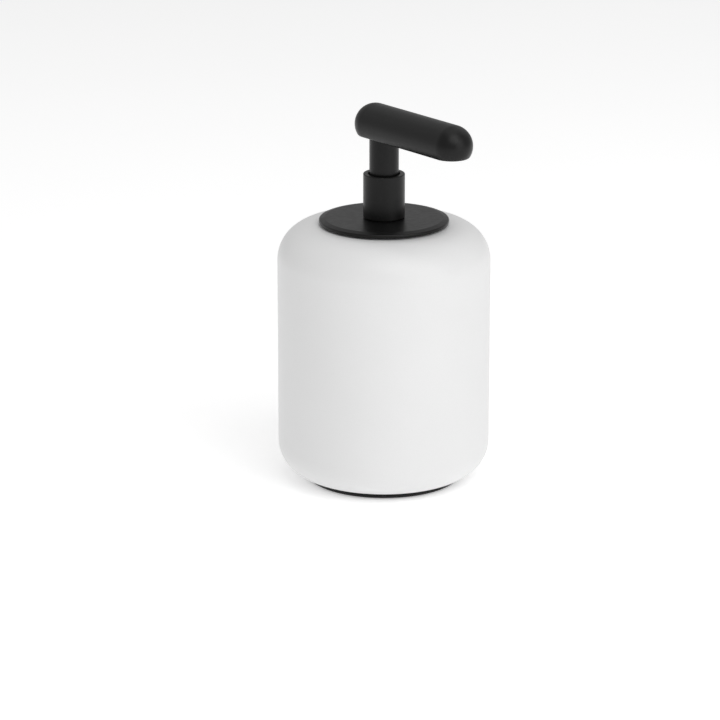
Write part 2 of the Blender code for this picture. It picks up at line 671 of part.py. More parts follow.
def make_spring():
    points = spring_points()
    curve = bpy.data.curves.new("return_spring", "CURVE")
    curve.dimensions = "3D"
    curve.bevel_depth = SPRING_WIRE
    curve.bevel_resolution = 2
    curve.use_fill_caps = True
    spline = curve.splines.new("POLY")
    spline.points.add(len(points) - 1)
    for point, place in zip(spline.points, points):
        point.co = (*place, 1.0)
    obj = bpy.data.objects.new("return_spring", curve)
    PART.objects.link(obj)
    finish(obj, "return_spring", STEEL, PUMP, (0, 0, SPRING_Z))


# ---------------------------------------------------------------- plunger
def make_rod():
    """The hollow rod that carries the soap up: a valve chamber and stop collar at the bottom, a
    shoulder under the stem's ledge, with the seal between them, and a groove for the clip."""
    def local(z):
        return z - ROD_Z

    stop = ROD_RADIUS + ROD_STOP
    shoulder = SLEEVE_BORE - 2 * RUNNING_GAP
    shoulder_bottom = local(SHOULDER_TOP_Z) - ROD_SHOULDER
    corners = [
        (ROD_RADIUS, local(ROD_TOP_Z), EDGE),
        (ROD_RADIUS, local(CLIP_Z) + CLIP_THICKNESS + SEAT_GAP),
        (GROOVE_RADIUS, local(CLIP_Z) + CLIP_THICKNESS + SEAT_GAP),
        (GROOVE_RADIUS, local(CLIP_Z) - SEAT_GAP),
        (ROD_RADIUS, local(CLIP_Z) - SEAT_GAP),
        (ROD_RADIUS, local(SHOULDER_TOP_Z)),
        (shoulder, local(SHOULDER_TOP_Z)),
        (shoulder, shoulder_bottom, EDGE),
        (ROD_RADIUS, shoulder_bottom),
        (ROD_RADIUS, local(PISTON_TOP_Z) + ROD_STOP),
        (stop, local(PISTON_TOP_Z) + ROD_STOP),
        (stop, local(PISTON_TOP_Z)),
        (ROD_RADIUS, local(PISTON_TOP_Z)),
        (ROD_RADIUS, 0),
        (VALVE_CHAMBER, 0),
        (VALVE_CHAMBER, local(VALVE_CHAMBER_TOP_Z)),
        (ROD_BORE, local(VALVE_CHAMBER_TOP_Z)),
        (ROD_BORE, local(ROD_TOP_Z)),
    ]
    rod = turned("plunger_rod", corners, PALE_PLASTIC, PLUNGER, ROD_Z, SMALL_SIDES)
    bypass_slot(rod, "outlet_bypass_cut", PLUNGER, VALVE_CHAMBER_TOP_Z, VALVE_CHAMBER)


def make_piston():
    """A sleeve on the rod with a sealing lip at each end, waisted between them."""
    lip = PISTON_RADIUS
    waist = PISTON_RADIUS - PISTON_WAIST
    inner = ROD_RADIUS + SEAT_GAP
    hub = waist - PISTON_CUP
    corners = [
        (lip, PISTON_LENGTH),
        (lip, PISTON_LENGTH - PISTON_LIP),
        (waist, PISTON_LENGTH - PISTON_LIP - PISTON_WAIST),
        (waist, PISTON_LIP + PISTON_WAIST),
        (lip, PISTON_LIP),
        (lip, 0),
        (waist, PISTON_LIP),
        (hub, PISTON_LIP),
        (hub, 0),
        (inner, 0),
        (inner, PISTON_LENGTH),
        (hub, PISTON_LENGTH),
        (hub, PISTON_LENGTH - PISTON_LIP),
        (waist, PISTON_LENGTH - PISTON_LIP),
    ]
    turned("piston", corners, PALE_PLASTIC, PLUNGER, ROD_Z, HIDDEN_SIDES)


def make_outlet_seat():
    """Plugs the bottom of the rod: seat of the outlet ball, stop for the piston, top of the spring."""
    top = VALVE_FLANGE + VALVE_SPIGOT_HEIGHT
    flange = SPRING_RADIUS + SPRING_WIRE
    corners = [
        (VALVE_SPIGOT, top),
        (VALVE_SPIGOT, VALVE_FLANGE),
        (flange, VALVE_FLANGE),
        (flange, 0),
        (PILOT_RADIUS, 0),
        (PILOT_RADIUS, -SPRING_PILOT, EDGE),
        (OUTLET_THROAT, -SPRING_PILOT),
        (OUTLET_THROAT, top - OUTLET_CONE),
        (OUTLET_THROAT + OUTLET_CONE, top),
    ]
    turned("outlet_valve_seat", corners, PALE_PLASTIC, PLUNGER, VALVE_Z, SMALL_SIDES)


def make_rod_fittings():
    ring_radius = ROD_RADIUS + SEAT_GAP + ROD_SEAL_SECTION
    sealing_ring("rod_seal", ring_radius, ROD_SEAL_SECTION, RUBBER, PLUNGER, ROD_SEAL_Z, SMALL_SIDES)
    inner = GROOVE_RADIUS + SEAT_GAP
    clip = flat_ring("rod_clip", CLIP_RADIUS, inner, CLIP_THICKNESS, STEEL, PLUNGER, CLIP_Z, HIDDEN_SIDES)
    opening = (CLIP_OPENING * GROOVE_RADIUS, CLIP_RADIUS, 3 * CLIP_THICKNESS)
    place = (0, CLIP_RADIUS, CLIP_Z + CLIP_THICKNESS / 2)
    cut(clip, box_cutter("clip_opening_cut", opening, PLUNGER, place))


# ---------------------------------------------------------------- head
def make_stem_sleeve():
    def local(z):
        return z - SLEEVE_Z

    corners = [
        (SOCKET_RADIUS, local(SLEEVE_TOP_Z), EDGE),
        (SOCKET_RADIUS, local(SLEEVE_SHOULDER_Z)),
        (STEM_RADIUS, local(SLEEVE_SHOULDER_Z)),
        (STEM_RADIUS, 0, EDGE),
        (SLEEVE_BORE, 0),
        (SLEEVE_BORE, local(SLEEVE_LEDGE_Z)),
        (ROD_HOLE, local(SLEEVE_LEDGE_Z)),
        (ROD_HOLE, local(SLEEVE_TOP_Z)),
    ]
    turned("stem_sleeve", corners, BLACK_METAL, HEAD, SLEEVE_Z, TUBE_SIDES)


def make_spout():
    """The bar: a round-ended rod lying along Y, cut flat below, with a socket for the stem, a channel
    from the back end to the nozzle, and a hole for the nozzle."""
    sides = TUBE_SIDES
    front = SPOUT_FRONT - SPOUT_RADIUS
    back = SPOUT_RADIUS - SPOUT_BACK
    profile = []
    for centre, start in ((front, pi / 2), (back, 0)):
        for step in range(END_STEPS + 1):
            angle = start - pi / 2 * step / END_STEPS
            profile.append((SPOUT_RADIUS * cos(angle), centre + SPOUT_RADIUS * sin(angle)))
    profile[0] = (0.0, SPOUT_FRONT)
    profile[-1] = (0.0, -SPOUT_BACK)
    bar = turned("spout_bar", profile, BLACK_METAL, HEAD, SPOUT_Z, sides, closed=False)
    bar.rotation_euler = (pi / 2, 0, 0)

    length = SPOUT_FRONT + SPOUT_BACK
    below = SPOUT_RADIUS
    slab = (3 * SPOUT_RADIUS, 2 * length, below)
    cut(bar, box_cutter("flat_cut", slab, HEAD, (0, 0, SPOUT_FLAT_Z - below / 2)))
    bevel = bar.modifiers.new("Edge", "BEVEL")
    bevel.width = SPOUT_EDGE
    bevel.segments = 1
    bevel.limit_method = "ANGLE"
    bevel.angle_limit = radians(40)

    over = SPOUT_RADIUS / 4  # how far a cutter starts outside the bar
    socket_top = SLEEVE_TOP_Z + SOCKET_ROOM
    depth = socket_top - SPOUT_FLAT_Z + over
    socket = round_cutter(
        "socket_cut", SOCKET_RADIUS + SEAT_GAP, depth, HEAD, (0, 0, socket_top - depth / 2), sides
    )
    cut(bar, socket)

    along = (pi / 2, 0, 0)
    channel_front = NOZZLE_Y
    channel_length = SPOUT_BACK + over - channel_front
    channel_place = (0, channel_front + channel_length / 2, CHANNEL_Z)
    channel = round_cutter(
        "channel_cut", CHANNEL_RADIUS, channel_length, HEAD, channel_place, SMALL_SIDES, along
    )
    cut(bar, channel)

    screw_room = over + REAR_SCREW_SETBACK + REAR_SCREW_LENGTH + SEAT_GAP
    screw_place = (0, SPOUT_BACK + over - screw_room / 2, CHANNEL_Z)
    hole = REAR_SCREW_RADIUS + SEAT_GAP
    cut(bar, round_cutter("rear_screw_cut", hole, screw_room, HEAD, screw_place, HIDDEN_SIDES, along))

    nozzle_depth = CHANNEL_Z - SPOUT_FLAT_Z + over
    nozzle_place = (0, NOZZLE_Y, CHANNEL_Z - nozzle_depth / 2)
    cut(bar, round_cutter("nozzle_cut", NOZZLE_HOLE, nozzle_depth, HEAD, nozzle_place, HIDDEN_SIDES))


def make_channel_liner():
    """The tube inside the spout that keeps the soap off the metal."""
    start = SOCKET_RADIUS + SEAT_GAP
    end = -NOZZLE_Y - NOZZLE_HOLE
    outer = CHANNEL_RADIUS - SEAT_GAP
    liner = flat_ring(
        "channel_liner", outer, outer - CHANNEL_WALL, end - start, PALE_PLASTIC, HEAD, CHANNEL_Z, SMALL_SIDES
    )
    liner.rotation_euler = (pi / 2, 0, 0)
    liner.location.y = -start


def make_rear_screw():
    """A socket set screw that closes the drilled end of the channel."""
    bpy.ops.mesh.primitive_cylinder_add(
        vertices=HIDDEN_SIDES, radius=REAR_SCREW_RADIUS, depth=REAR_SCREW_LENGTH
    )
    outer_end = SPOUT_BACK - REAR_SCREW_SETBACK
    place = (0, outer_end - REAR_SCREW_LENGTH / 2, CHANNEL_Z)
    screw = finish(bpy.context.object, "rear_screw", BLACK_METAL, HEAD, place)
    screw.rotation_euler = (pi / 2, 0, 0)
    key_place = (0, outer_end, CHANNEL_Z)
    key = round_cutter("hex_key_cut", HEX_KEY, REAR_SCREW_LENGTH, HEAD, key_place, 6, (pi / 2, 0, 0))
    cut(screw, key)


def make_nozzle():
    height = NOZZLE_TOP_Z - SPOUT_FLAT_Z
    corners = [
        (NOZZLE_RADIUS, height, EDGE),
        (NOZZLE_RADIUS, 0),
        (NOZZLE_BORE, 0, EDGE),
        (NOZZLE_BORE, height),
    ]
    nozzle = turned("nozzle", corners, BLACK_PLASTIC, HEAD, SPOUT_FLAT_Z, HIDDEN_SIDES)
    nozzle.location.y = NOZZLE_Y


# ---------------------------------------------------------------- the assembly
clear_scene()
PART = make_collection("soap_dispenser")
CUTTERS = make_collection("cutters")

CERAMIC = make_material("white_ceramic", (0.80, 0.80, 0.80), 0.55)
BLACK_METAL = make_material("black_coated_metal", (0.020, 0.020, 0.021), 0.45)
BLACK_PLASTIC = make_material("black_plastic", (0.018, 0.018, 0.018), 0.50)
RUBBER = make_material("black_rubber", (0.025, 0.025, 0.025), 0.85)
SILICONE = make_material("clear_silicone", (0.72, 0.74, 0.75), 0.60)
PALE_PLASTIC = make_material("pale_plastic", (0.82, 0.82, 0.80), 0.45)
CLEAR_PLASTIC = make_material("natural_plastic", (0.80, 0.84, 0.86), 0.35)
STEEL = make_material("steel", (0.62, 0.62, 0.63), 0.25, 1.0)

BASE = make_frame("base_frame", 0.0)
PUMP = make_frame("pump_frame", RIM_Z, BASE)
PLUNGER = make_frame("plunger_frame", ROD_Z, PUMP)
HEAD = make_frame("head_frame", SPOUT_Z, PLUNGER)

make_vessel()
make_neck_liner()
make_foot()
make_lid()
make_collar()
make_bush_and_wiper()
make_stopper()
make_cylinder()
make_cylinder_mounting()
make_rod_guide()
make_spring_seat()
make_dip_tube()
make_spring()
ball("inlet_ball", INLET_BALL, STEEL, PUMP, INLET_Z)
make_rod()
make_piston()
make_outlet_seat()
make_rod_fittings()
ball("outlet_ball", OUTLET_BALL, STEEL, PLUNGER, OUTLET_Z)
make_stem_sleeve()
make_spout()
make_channel_liner()
make_rear_screw()
make_nozzle()
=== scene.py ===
"""The looks of the soap pump dispenser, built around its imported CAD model. Metres, +Z up.

Every CAD node is made again in fine mesh from its own outline, with true arcs and softened corners, so each
piece keeps the size and the place that the CAD gives it. Then come the floor, the light and the camera.
"""

import json
from math import asin, ceil, cos, hypot, pi, radians, sin, sqrt, tan

import bmesh
import bpy
from mathutils import Matrix, Vector


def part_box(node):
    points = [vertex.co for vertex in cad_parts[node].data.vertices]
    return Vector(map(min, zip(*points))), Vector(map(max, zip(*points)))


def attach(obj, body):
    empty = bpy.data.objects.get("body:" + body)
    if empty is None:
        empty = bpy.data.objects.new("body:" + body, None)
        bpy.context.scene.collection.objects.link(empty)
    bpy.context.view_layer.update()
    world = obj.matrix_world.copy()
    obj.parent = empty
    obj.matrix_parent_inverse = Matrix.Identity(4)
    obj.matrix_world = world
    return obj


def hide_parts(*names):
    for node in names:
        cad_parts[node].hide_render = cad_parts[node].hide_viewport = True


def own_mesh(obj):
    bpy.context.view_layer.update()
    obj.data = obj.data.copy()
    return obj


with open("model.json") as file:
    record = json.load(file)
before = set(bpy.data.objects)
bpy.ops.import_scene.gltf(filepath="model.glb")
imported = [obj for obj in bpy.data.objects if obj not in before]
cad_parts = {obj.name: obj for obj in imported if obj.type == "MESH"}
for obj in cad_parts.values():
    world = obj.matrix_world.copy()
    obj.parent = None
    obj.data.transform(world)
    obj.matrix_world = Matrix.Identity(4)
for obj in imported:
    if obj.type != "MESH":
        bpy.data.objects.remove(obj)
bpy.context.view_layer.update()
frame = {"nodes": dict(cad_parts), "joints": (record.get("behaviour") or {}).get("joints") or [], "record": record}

MM = 0.001
BODY_OF = {node: body for body, nodes in frame["record"]["behaviour"]["bodies"].items() for node in nodes}
SLOT_OF = {part["node"]: part["material_slot"] for part in frame["record"]["subparts"]}

# ---------------------------------------------------------------- how finely pieces are made
WIDE_SIDES = 192
TUBE_SIDES = 128
SMALL_SIDES = 72
ARC_STEP = radians(4)
SMOOTH_TURN = radians(50)  # a sharper turn in an outline is a real corner
FLAT_TURN = radians(20)
EVEN_TURN = radians(1)  # a ball's outline turns by the same angle everywhere, to within this
STRAIGHT_TURN = radians(0.5)  # a smaller turn than this is none
NO_TURN = 1e-6
SHARP_EDGE = radians(40)  # faces that meet at a sharper angle are not shaded as one
SHORT_CHORD = 1.2 * MM
CHORD_SPREAD = 1.5  # an arc's chord is at most this many times as long as the sides beside it
SOFT_CORNER = 0.12 * MM
CORNER_STEPS = 3
CORNER_SHARE = 0.3  # of the shorter side beside it, at most, goes into a softened corner
HOLD = 0.06 * MM  # an extra ring this near each end keeps a straight side's shading straight
LONG_SIDE = 8 * HOLD
BAR_HOLD = 4 * HOLD
SLACK = 0.01 * MM
MERGE_GAP = 1e-7
TINY_EDGE = 1e-8
PLACES = 6  # outline points are rounded to a micrometre
ON_X = 0.0  # the half-plane in which an outline is read
ON_Y = pi / 2
UPRIGHT = Vector((0, 0, 0))

# ---------------------------------------------------------------- details that the outlines don't give
SEAT_GAP = 0.3 * MM
TUBE_SLANT = radians(35)
CLIP_OPENING = 3.4 * MM
NOTCH_WIDTH = 2.0 * MM
VENT_RADIUS = 0.5 * MM
VENT_SIDES = 24
BYPASS_WIDTH = 1.2 * MM
BYPASS_DEPTH = 0.6 * MM
OUTLET_BYPASS_REACH = 0.4 * MM  # how far the slot runs past the ball on each side
INLET_BYPASS_REACH = 0.8 * MM
HEX_KEY = 1.5 * MM
HEX_SIDES = 6
CHANNEL_WALL = 0.6 * MM
SOCKET_ROOM = 2.4 * MM
SPRING_WIRE = 0.4 * MM
SPRING_TURNS = 9
COIL_STEPS = 36  # in each turn of the spring
WIRE_SIDES = 14
PROFILE_STEPS = 48  # over the spout's half cross-section
SPOUT_EDGE = 0.6 * MM


# ---------------------------------------------------------------- outlines of the CAD nodes
def centre_of(node):
    low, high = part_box(node)
    return (low + high) / 2


def size_of(node):
    low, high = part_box(node)
    return high - low


def travel_of(joint):
    return next(j["range_m"][1] for j in frame["joints"] if j["name"] == joint)


def meridian(node, turn, axis):
    """The node's points on the half-plane at angle turn about its axis, each with the points next to it."""
    mesh = frame["nodes"][node].data
    place = {}
    for vertex in mesh.vertices:
        x = vertex.co.x - axis.x
        y = vertex.co.y - axis.y
        radius = x * cos(turn) + y * sin(turn)
        beside = y * cos(turn) - x * sin(turn)
        if abs(beside) < SLACK and radius > -SLACK:
            place[vertex.index] = (round(max(radius, 0.0), PLACES), round(vertex.co.z, PLACES))
    joined = {}
    for edge in mesh.edges:
        a, b = (place.get(index) for index in edge.vertices)
        if a and b and a != b and not a[0] == b[0] == 0.0:
            joined.setdefault(a, set()).add(b)
            joined.setdefault(b, set()).add(a)
    return joined


def outline(node, turn=ON_X, axis=UPRIGHT):
    """The node's (radius, height) points, down its outside and up its inside, and whether they close."""
    joined = meridian(node, turn, axis)
    ends = [point for point, near in joined.items() if len(near) == 1]
    closed = not ends
    start = max(joined) if closed else max(ends, key=lambda p: p[1])
    points = [start]
    previous = None
    here = start
    while True:
        ways = sorted(p for p in joined[here] if p != previous)
        if previous is None and closed:
            ways.sort(key=lambda p: (p[1] - here[1]) / hypot(p[0] - here[0], p[1] - here[1]))
        if not ways or ways[0] == start:
            break
        previous, here = here, ways[0]
        points.append(here)
    return straightened([Vector(p) for p in points], closed), closed


def turn_at(points, index, closed):
    if not closed and index in (0, len(points) - 1):
        return 0.0
    before = points[index] - points[index - 1]
    after = points[(index + 1) % len(points)] - points[index]
    return before.angle(after)


def straightened(points, closed):
    """The outline without the points that lie along a straight side; the ends of an open one stay."""
    ends = () if closed else (0, len(points) - 1)
    return [p for i, p in enumerate(points) if i in ends or turn_at(points, i, closed) > STRAIGHT_TURN]


def is_half_circle(points):
    """Whether an open outline turns by the same angle at every point, as a ball's does."""
    turns = [turn_at(points, index, False) for index in range(1, len(points) - 1)]
    return max(turns) - min(turns) < EVEN_TURN


def is_chord(points, index, closed):
    """Whether the side from this point to the next is a chord of an arc."""
    count = len(points)
    after = (index + 1) % count
    if not closed:
        if index == count - 1:
            return False
        if index == 0 or after == count - 1:
            return is_half_circle(points)
    sharpest = max(turn_at(points, index, closed), turn_at(points, after, closed))
    length = (points[after] - points[index]).length
    if sharpest > SMOOTH_TURN:
        return False
    if length < SHORT_CHORD:
        return True
    before = (points[index] - points[index - 1]).length
    behind = (points[(after + 1) % count] - points[after]).length
    return sharpest < FLAT_TURN and length < CHORD_SPREAD * min(before, behind)


def softened(corner, before, after, reach):
    """A small round in place of a sharp corner."""
    start = corner + (before - corner).normalized() * reach
    end = corner + (after - corner).normalized() * reach
    steps = [step / CORNER_STEPS for step in range(CORNER_STEPS + 1)]
    return [start * (1 - t) ** 2 + corner * 2 * t * (1 - t) + end * t**2 for t in steps]


def arc(a, b, slope_a, slope_b):
    """The points between a and b on the arc that leaves a along slope_a and reaches b along slope_b."""
    turn = slope_a.angle(slope_b)
    steps = max(2, ceil(turn / ARC_STEP))
    stretch = (b - a).length * (turn / 2 / sin(turn / 2) if turn > NO_TURN else 1.0)
    points = []
    for step in range(1, steps):
        t = step / steps
        points.append(
            a * (2 * t**3 - 3 * t**2 + 1)
            + slope_a * stretch * (t**3 - 2 * t**2 + t)
            + b * (3 * t**2 - 2 * t**3)
            + slope_b * stretch * (t**3 - t**2)
        )
    return points


def slopes_of(points, chords, closed):
    """The direction at each point: shared by two chords, or that of the straight side beside one."""
    count = len(points)
    slopes = []
    for index, point in enumerate(points):
        into = (point - points[index - 1]).normalized()
        out = (points[(index + 1) % count] - point).normalized()
        if not closed and index in (0, count - 1):
            slopes.append(Vector((1 if index == 0 else -1, 0)))  # an arc crosses the axis squarely
        elif chords[index - 1] and chords[index]:
            slopes.append((into + out).normalized())
        else:
            slopes.append(out if chords[index - 1] else into)
    return slopes


def held(points, closed):
    """The outline with an extra point near both ends of each long straight side."""
    made = []
    count = len(points)
    for index, point in enumerate(points):
        made.append(point)
        after = points[(index + 1) % count]
        if (closed or index < count - 1) and (after - point).length > LONG_SIDE:
            along = (after - point).normalized() * HOLD
            made += [point + along, after - along]
    return made


def refined(points, closed):
    """The outline with its arcs round again, its sharp corners softened and its straight sides held."""
    count = len(points)
    chords = [is_chord(points, index, closed) for index in range(count)]
    slopes = slopes_of(points, chords, closed)
    made = []
    for index, point in enumerate(points):
        before = points[index - 1]
        after = points[(index + 1) % count]
        at_end = not closed and index in (0, count - 1)
        if at_end or chords[index - 1] or chords[index]:
            made.append(point)
        else:
            room = CORNER_SHARE * min((point - before).length, (after - point).length)
            made += softened(point, before, after, min(SOFT_CORNER, room))
        if chords[index]:
            made += arc(point, after, slopes[index], slopes[(index + 1) % count])
    return held(made, closed)


# ---------------------------------------------------------------- making pieces
def new_object(name, vertices, edges=(), faces=()):
    mesh = bpy.data.meshes.new(name)
    mesh.from_pydata([tuple(v) for v in vertices], list(edges), list(faces))
    obj = bpy.data.objects.new(name, mesh)
    bpy.context.scene.collection.objects.link(obj)
    return obj


def applied(obj):
    """The object with its modifiers made part of its mesh."""
    graph = bpy.context.evaluated_depsgraph_get()
    mesh = bpy.data.meshes.new_from_object(obj.evaluated_get(graph))
    obj.modifiers.clear()
    old = obj.data
    obj.data = mesh
    bpy.data.meshes.remove(old)
    mesh.name = obj.name
    return obj


def screwed(name, points, closed, sides):
    """A solid of revolution about Z from (radius, height) points."""
    count = len(points)
    edges = [(i, (i + 1) % count) for i in range(count if closed else count - 1)]
    obj = new_object(name, [(p[0], 0.0, p[1]) for p in points], edges)
    screw = obj.modifiers.new("Turn", "SCREW")
    screw.steps = screw.render_steps = sides
    screw.use_merge_vertices = True
    screw.merge_threshold = MERGE_GAP
    return applied(obj)


def smooth(obj):
    obj.data.shade_smooth()
    obj.data.set_sharp_from_angle(angle=SHARP_EDGE)
    return obj


def cut_with(obj, *cutters):
    for cutter in cutters:
        modifier = obj.modifiers.new(cutter.name, "BOOLEAN")
        modifier.operation = "DIFFERENCE"
        modifier.solver = "EXACT"
        modifier.object = cutter
    bpy.context.view_layer.update()
    applied(obj)
    for cutter in cutters:
        bpy.data.objects.remove(cutter)
    return obj


def rod_cutter(radius, start, end, sides=SMALL_SIDES):
    """A cylinder between two points."""
    start, end = Vector(start), Vector(end)
    bpy.ops.mesh.primitive_cylinder_add(vertices=sides, radius=radius, depth=(end - start).length)
    obj = bpy.context.object
    obj.rotation_euler = (end - start).to_track_quat("Z", "Y").to_euler()
    obj.location = (start + end) / 2
    return obj


def box_cutter(low, high, tilt=0.0):
    """A box, tilted about X around its centre."""
    low, high = Vector(low), Vector(high)
    bpy.ops.mesh.primitive_cube_add(size=1.0)
    obj = bpy.context.object
    obj.scale = high - low
    obj.location = (low + high) / 2
    obj.rotation_euler.x = tilt
    return obj


def stand_for(obj, node):
    """The piece shows in place of the CAD node, on its body and with its slot's material."""
    obj.data.materials.clear()
    obj.data.materials.append(MATERIALS[SLOT_OF[node]])
    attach(obj, BODY_OF[node])
    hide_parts(node)
    return obj


def turned_again(node, sides, turn=ON_X, axis=UPRIGHT):
    """The CAD node, turned finely about its own upright axis."""
    points, closed = outline(node, turn, axis)
    obj = screwed(node + "_fine", refined(points, closed), closed, sides)
    obj.data.transform(Matrix.Translation((axis.x, axis.y, 0)))
    return obj


# ---------------------------------------------------------------- materials
NOISE_SPAN = (0.3, 0.7)  # nearly all of a noise texture's values lie between these
CLOUD_DARK = 0.94  # a moulded piece's colour varies between these shares of itself
CLOUD_LIGHT = 1.05
GLOSS_SPREAD = 0.04


class Surface:
    """Short calls for building one material's node tree."""

    def __init__(self, name, roughness, metallic=0.0):
        self.material = bpy.data.materials.new(name)
        self.material.use_nodes = True
        self.tree = self.material.node_tree
        self.shader = self.tree.nodes["Principled BSDF"]
        self.shader.inputs["Roughness"].default_value = roughness
        self.shader.inputs["Metallic"].default_value = metallic
        self.place = self.tree.nodes.new("ShaderNodeTexCoord").outputs["Object"]

    def noise(self, size, detail=2.0, roughness=0.5):
        """Noise from 0 to 1 whose blotches are about this many metres across."""
        node = self.tree.nodes.new("ShaderNodeTexNoise")
        node.inputs["Scale"].default_value = 1.0 / size
        node.inputs["Detail"].default_value = detail
        node.inputs["Roughness"].default_value = roughness
        self.tree.links.new(self.place, node.inputs["Vector"])
        return node.outputs["Fac"]

    def ramp(self, value, low, high):
        """A colour that goes from low to high as the noise does."""
        node = self.tree.nodes.new("ShaderNodeValToRGB")
        for element, position, colour in zip(node.color_ramp.elements, NOISE_SPAN, (low, high)):
            element.position = position
            element.color = (*colour, 1.0)
        self.tree.links.new(value, node.inputs["Fac"])
        return node.outputs["Color"]

    def mixed(self, share, a, b):
        node = self.tree.nodes.new("ShaderNodeMixRGB")
        node.inputs["Fac"].default_value = share
        self.tree.links.new(a, node.inputs["Color1"])
        self.tree.links.new(b, node.inputs["Color2"])
        return node.outputs["Color"]

    def ranged(self, value, low, high):
        node = self.tree.nodes.new("ShaderNodeMapRange")
        node.inputs["From Min"].default_value = NOISE_SPAN[0]
        node.inputs["From Max"].default_value = NOISE_SPAN[1]
        node.inputs["To Min"].default_value = low
        node.inputs["To Max"].default_value = high
        self.tree.links.new(value, node.inputs["Value"])
        return node.outputs["Result"]

    def bump(self, *layers):
        """Bump from (height, depth in metres, strength) layers, the coarsest first."""
        normal = None
        for height, depth, strength in layers:
            node = self.tree.nodes.new("ShaderNodeBump")
            node.inputs["Distance"].default_value = depth
            node.inputs["Strength"].default_value = strength
            self.tree.links.new(height, node.inputs["Height"])
            if normal:
                self.tree.links.new(normal, node.inputs["Normal"])
            normal = node.outputs["Normal"]
        self.tree.links.new(normal, self.shader.inputs["Normal"])

    def feed(self, socket, value):
        self.tree.links.new(value, self.shader.inputs[socket])


def grey(value):
    return (value, value, value)


def ceramic():
    """White ceramic under a matt glaze: a slightly uneven tone, a fine grain and a soft sheen."""
    s = Surface("white_ceramic", 0.5)
    tone = s.ramp(s.noise(30 * MM, 3), grey(0.75), grey(0.77))
    grain = s.ramp(s.noise(0.45 * MM, 3, 0.7), grey(0.73), grey(0.79))
    s.feed("Base Color", s.mixed(0.35, tone, grain))
    s.feed("Roughness", s.ranged(s.noise(4 * MM, 3), 0.33, 0.39))
    s.bump((s.noise(9 * MM, 2), 0.05 * MM, 0.25), (s.noise(0.5 * MM, 3, 0.6), 0.02 * MM, 0.5))
    return s.material


def coated_metal():
    """Satin black powder coat with a very fine texture."""
    s = Surface("black_coated_metal", 0.45)
    tone = s.ramp(s.noise(12 * MM, 3), grey(0.0038), grey(0.0046))
    grain = s.ramp(s.noise(0.30 * MM, 2, 0.6), grey(0.0030), grey(0.0056))
    s.feed("Base Color", s.mixed(0.4, tone, grain))
    s.feed("Roughness", s.ranged(s.noise(2.5 * MM, 3), 0.31, 0.37))
    s.bump((s.noise(0.32 * MM, 3, 0.6), 0.02 * MM, 0.5))
    s.shader.inputs["Specular IOR Level"].default_value = 0.25
    return s.material


def moulded(name, colour, roughness, grain=0.25 * MM, depth=0.008 * MM):
    """A moulded plastic or rubber: an even colour with slight clouding, and a fine moulded grain."""
    s = Surface(name, roughness)
    dark = tuple(CLOUD_DARK * c for c in colour)
    light = tuple(CLOUD_LIGHT * c for c in colour)
    s.feed("Base Color", s.ramp(s.noise(5 * MM, 3), dark, light))
    s.feed("Roughness", s.ranged(s.noise(1.5 * MM, 2), roughness - GLOSS_SPREAD, roughness + GLOSS_SPREAD))
    s.bump((s.noise(grain, 2), depth, 0.4))
    return s


def silicone():
    s = moulded("clear_silicone", (0.74, 0.76, 0.77), 0.42)
    s.shader.inputs["Transmission Weight"].default_value = 0.30
    return s.material


def natural_plastic():
    s = moulded("natural_plastic", (0.82, 0.85, 0.86), 0.32)
    s.shader.inputs["Transmission Weight"].default_value = 0.40
    s.shader.inputs["IOR"].default_value = 1.49
    return s.material


def steel():
    """Drawn wire and polished balls: bright, with fine scratches of uneven gloss."""
    s = Surface("steel", 0.22, 1.0)
    s.feed("Base Color", s.ramp(s.noise(1.2 * MM, 3), (0.60, 0.60, 0.61), (0.70, 0.70, 0.71)))
    s.feed("Roughness", s.ranged(s.noise(0.5 * MM, 4, 0.7), 0.16, 0.30))
    s.bump((s.noise(0.12 * MM, 2), 0.003 * MM, 0.3))
    return s.material


MATERIALS = {
    "white_ceramic": ceramic(),
    "black_coated_metal": coated_metal(),
    "black_plastic": moulded("black_plastic", (0.021, 0.021, 0.022), 0.5).material,
    "black_rubber": moulded("black_rubber", (0.028, 0.028, 0.029), 0.78, 0.4 * MM, 0.03 * MM).material,
    "clear_silicone": silicone(),
    "pale_plastic": moulded("pale_plastic", (0.83, 0.83, 0.81), 0.40).material,
    "natural_plastic": natural_plastic(),
    "steel": steel(),
}


# ---------------------------------------------------------------- turned pieces
def make_plain_turned_pieces():
    sizes = {
        WIDE_SIDES: ("vessel", "base_plate", "foot_pad", "lid_disc"),
        TUBE_SIDES: ("neck_liner", "lid_gasket", "stopper", "stopper_seal_upper", "stopper_seal_lower",
                     "guide_collar", "stem_sleeve"),
        SMALL_SIDES: ("flange_gasket", "guide_bush", "stem_wiper", "rod_guide", "piston",
                      "outlet_valve_seat", "rod_seal", "inlet_ball", "outlet_ball"),
    }
    for sides, nodes in sizes.items():
        for node in nodes:
            stand_for(smooth(turned_again(node, sides)), node)


def make_pump_cylinder():
    """The outline is read away from the vent, which is then drilled again, level with the piston's middle."""
    height = centre_of("piston").z
    vent = rod_cutter(VENT_RADIUS, (0, 0, height), (size_of("pump_cylinder").x, 0, height), VENT_SIDES)
    cylinder = turned_again("pump_cylinder", SMALL_SIDES, ON_Y)
    stand_for(smooth(cut_with(cylinder, vent)), "pump_cylinder")


def make_bypassed_piece(node, ball, top, clearance):
    """A stop above a valve ball, with the slot that lets the soap past the lifted ball."""
    reach = size_of(ball).x / 2 + clearance
    low = (-reach, -BYPASS_WIDTH / 2, top - BYPASS_DEPTH)
    high = (reach, BYPASS_WIDTH / 2, top + BYPASS_DEPTH)
    piece = turned_again(node, SMALL_SIDES, ON_Y)
    stand_for(smooth(cut_with(piece, box_cutter(low, high))), node)


